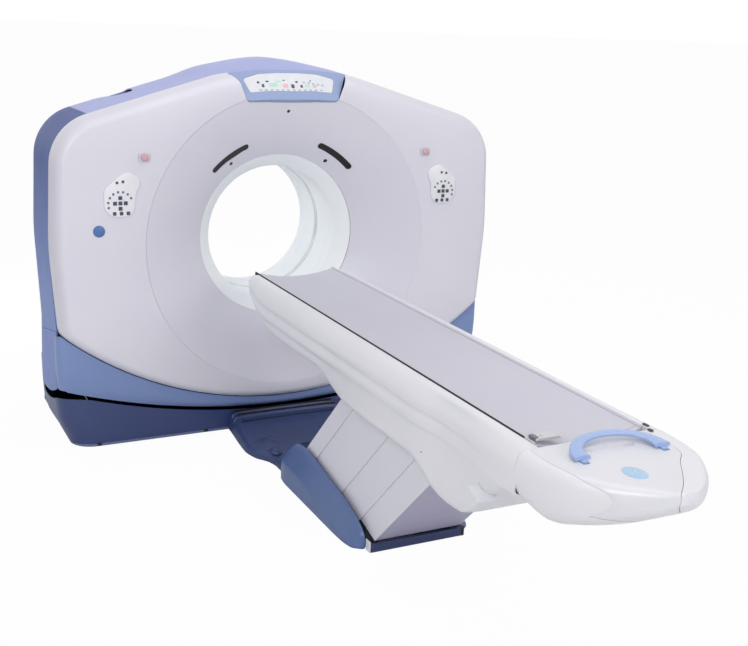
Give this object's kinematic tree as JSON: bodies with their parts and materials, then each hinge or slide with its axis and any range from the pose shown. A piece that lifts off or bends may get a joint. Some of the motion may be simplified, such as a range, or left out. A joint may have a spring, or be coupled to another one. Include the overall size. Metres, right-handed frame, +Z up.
{
  "type": "ct scanner",
  "caption": "Tilting-gantry CT scanner: a wide ring-shaped housing with a through bore, on a low base, with a lifting pedestal table whose curved cradle slides into the bore.",
  "frame": {"origin": "on the floor below the isocentre, at the middle of the gantry's four floor anchors", "axes": "+Y runs through the bore to the rear, -Y along the patient table, +X to the right seen from the table, +Z up"},
  "size_m": [2.3454, 3.94, 1.887],
  "materials": {
    "steel_paint": "satin dark grey paint",
    "bright_steel": "machined",
    "gear_unit": "satin grey paint",
    "deep_blue_cover": "fine satin",
    "foot_blue": "satin",
    "mid_blue_cover": "satin",
    "light_blue_cover": "satin",
    "white_cover": "smooth satin",
    "bright_white": "smooth gloss",
    "grey_funnel": "smooth satin",
    "panel_light": "clear gloss over pale print",
    "dark_window": "deep gloss",
    "clear_window": "clear",
    "key_dark": "satin",
    "stop_red": "gloss",
    "stop_grey": "satin",
    "alloy": "cast and machined",
    "tube_housing": "cast",
    "detector_black": "matt",
    "ring_copper": "turned",
    "slat_white": "satin powder coat",
    "panel_violet": "satin powder coat",
    "rail_alloy": "extruded",
    "shell_white": "smooth satin",
    "handle_blue": "soft gloss",
    "cradle_grey": "smooth composite",
    "mat_grey": "smooth vinyl"
  },
  "bodies": {
    "base": {"gantry_base_frame": "steel_paint", "tilt_uprights": "steel_paint", "trunnion_bearings": "bright_steel", "tilt_gearmotor": "gear_unit", "base_front_cover": "deep_blue_cover", "base_side_covers": "deep_blue_cover", "base_rear_cover": "deep_blue_cover", "levelling_screws": "bright_steel", "bridge_cover": "deep_blue_cover", "table_base_frame": "steel_paint", "table_foot_cover": "foot_blue", "foot_end_plinth": "deep_blue_cover", "lift_gearmotor": "gear_unit"},
    "gantry": {"tilt_frame": "steel_paint", "main_bearing": "bright_steel", "front_cover": "white_cover", "lower_front_cover": "mid_blue_cover", "side_covers": "light_blue_cover", "top_cover": "light_blue_cover", "rear_cover": "mid_blue_cover", "front_funnel": "grey_funnel", "rear_funnel": "grey_funnel", "bore_tube": "bright_white", "scan_window": "clear_window", "display_frame": "light_blue_cover", "display_panel": "panel_light", "alignment_windows": "dark_window", "control_pads": "white_cover", "stop_plates": "stop_grey"},
    "rotor": {"rotor_drum": "alloy", "xray_tube": "tube_housing", "detector_arc": "detector_black", "generator": "gear_unit", "slip_ring": "ring_copper"},
    "left_stop": {"left_stop_button": "stop_red"},
    "right_stop": {"right_stop_button": "stop_red"},
    "left_up_key_body": {"left_up_key": "key_dark"},
    "left_down_key_body": {"left_down_key": "key_dark"},
    "left_in_key_body": {"left_in_key": "key_dark"},
    "left_out_key_body": {"left_out_key": "key_dark"},
    "left_centre_key_body": {"left_centre_key": "key_dark"},
    "right_up_key_body": {"right_up_key": "key_dark"},
    "right_down_key_body": {"right_down_key": "key_dark"},
    "right_in_key_body": {"right_in_key": "key_dark"},
    "right_out_key_body": {"right_out_key": "key_dark"},
    "right_centre_key_body": {"right_centre_key": "key_dark"},
    "front_arms": {"front_lift_arms": "steel_paint"},
    "rear_arms": {"rear_lift_arms": "steel_paint"},
    "slat_1": {"slat_pair_1": "slat_white"},
    "slat_2": {"slat_pair_2": "slat_white"},
    "slat_3": {"slat_pair_3": "slat_white"},
    "slat_4": {"slat_pair_4": "slat_white", "pedestal_end_panel": "panel_violet"},
    "table": {"table_frame": "rail_alloy", "table_shell": "shell_white", "table_end_cap": "shell_white"},
    "handle": {"release_handle": "handle_blue"},
    "cradle_body": {"cradle": "cradle_grey", "cradle_mat": "mat_grey", "cradle_latch": "bright_steel"}
  },
  "joints": [
    {"name": "gantry_tilt", "type": "hinge", "parent": "base", "child": "gantry", "pos_m": [0, 0, 1], "axis": [-1, 0, 0], "range_deg": [-30, 30]},
    {"name": "rotor_spin", "type": "hinge", "parent": "gantry", "child": "rotor", "pos_m": [0, 0, 1], "axis": [0, 1, 0], "continuous": true},
    {"name": "left_stop_press", "type": "slide", "parent": "gantry", "child": "left_stop", "axis": [0, 1, 0], "range_m": [0, 0.004]},
    {"name": "right_stop_press", "type": "slide", "parent": "gantry", "child": "right_stop", "axis": [0, 1, 0], "range_m": [0, 0.004]},
    {"name": "left_up_press", "type": "slide", "parent": "gantry", "child": "left_up_key_body", "axis": [0, 1, 0], "range_m": [0, 0.0015], "stiffness_N_per_m": 400, "springref_m": -0.0003},
    {"name": "left_down_press", "type": "slide", "parent": "gantry", "child": "left_down_key_body", "axis": [0, 1, 0], "range_m": [0, 0.0015], "stiffness_N_per_m": 400, "springref_m": -0.0003},
    {"name": "left_in_press", "type": "slide", "parent": "gantry", "child": "left_in_key_body", "axis": [0, 1, 0], "range_m": [0, 0.0015], "stiffness_N_per_m": 400, "springref_m": -0.0003},
    {"name": "left_out_press", "type": "slide", "parent": "gantry", "child": "left_out_key_body", "axis": [0, 1, 0], "range_m": [0, 0.0015], "stiffness_N_per_m": 400, "springref_m": -0.0003},
    {"name": "left_centre_press", "type": "slide", "parent": "gantry", "child": "left_centre_key_body", "axis": [0, 1, 0], "range_m": [0, 0.0015], "stiffness_N_per_m": 400, "springref_m": -0.0003},
    {"name": "right_up_press", "type": "slide", "parent": "gantry", "child": "right_up_key_body", "axis": [0, 1, 0], "range_m": [0, 0.0015], "stiffness_N_per_m": 400, "springref_m": -0.0003},
    {"name": "right_down_press", "type": "slide", "parent": "gantry", "child": "right_down_key_body", "axis": [0, 1, 0], "range_m": [0, 0.0015], "stiffness_N_per_m": 400, "springref_m": -0.0003},
    {"name": "right_in_press", "type": "slide", "parent": "gantry", "child": "right_in_key_body", "axis": [0, 1, 0], "range_m": [0, 0.0015], "stiffness_N_per_m": 400, "springref_m": -0.0003},
    {"name": "right_out_press", "type": "slide", "parent": "gantry", "child": "right_out_key_body", "axis": [0, 1, 0], "range_m": [0, 0.0015], "stiffness_N_per_m": 400, "springref_m": -0.0003},
    {"name": "right_centre_press", "type": "slide", "parent": "gantry", "child": "right_centre_key_body", "axis": [0, 1, 0], "range_m": [0, 0.0015], "stiffness_N_per_m": 400, "springref_m": -0.0003},
    {"name": "table_lift", "type": "hinge", "parent": "base", "child": "front_arms", "pos_m": [0, -1.5, 0.11], "axis": [-1, 0, 0], "range_deg": [-25, 15]},
    {"name": "table_level", "type": "hinge", "parent": "front_arms", "child": "table", "pos_m": [0, -1.92426, 0.53426], "axis": [-1, 0, 0], "range_deg": [-15, 25]},
    {"name": "rear_arm_swing", "type": "hinge", "parent": "base", "child": "rear_arms", "pos_m": [0, -1.9, 0.11], "axis": [-1, 0, 0], "range_deg": [-25, 15]},
    {"name": "slat_1_swing", "type": "hinge", "parent": "base", "child": "slat_1", "pos_m": [0, -1.24257, 0.11], "axis": [-1, 0, 0], "range_deg": [-25, 15]},
    {"name": "slat_2_swing", "type": "hinge", "parent": "base", "child": "slat_2", "pos_m": [0, -1.56257, 0.11], "axis": [-1, 0, 0], "range_deg": [-25, 15]},
    {"name": "slat_3_swing", "type": "hinge", "parent": "base", "child": "slat_3", "pos_m": [0, -1.78757, 0.11], "axis": [-1, 0, 0], "range_deg": [-25, 15]},
    {"name": "slat_4_swing", "type": "hinge", "parent": "base", "child": "slat_4", "pos_m": [0, -1.95757, 0.11], "axis": [-1, 0, 0], "range_deg": [-25, 15]},
    {"name": "handle_lift", "type": "hinge", "parent": "table", "child": "handle", "pos_m": [0, -3.168, 0.854], "axis": [1, 0, 0], "range_deg": [0, 25], "stiffness_Nm_per_rad": 3, "springref_deg": -8.59},
    {"name": "cradle_slide", "type": "slide", "parent": "table", "child": "cradle_body", "axis": [0, 1, 0], "range_m": [0, 1.7]}
  ],
  "couplings": [
    {"joint": "table_level", "follows": "table_lift", "ratio": -1},
    {"joint": "rear_arm_swing", "follows": "table_lift", "ratio": 1},
    {"joint": "slat_1_swing", "follows": "table_lift", "ratio": 1},
    {"joint": "slat_2_swing", "follows": "table_lift", "ratio": 1},
    {"joint": "slat_3_swing", "follows": "table_lift", "ratio": 1},
    {"joint": "slat_4_swing", "follows": "table_lift", "ratio": 1}
  ]
}
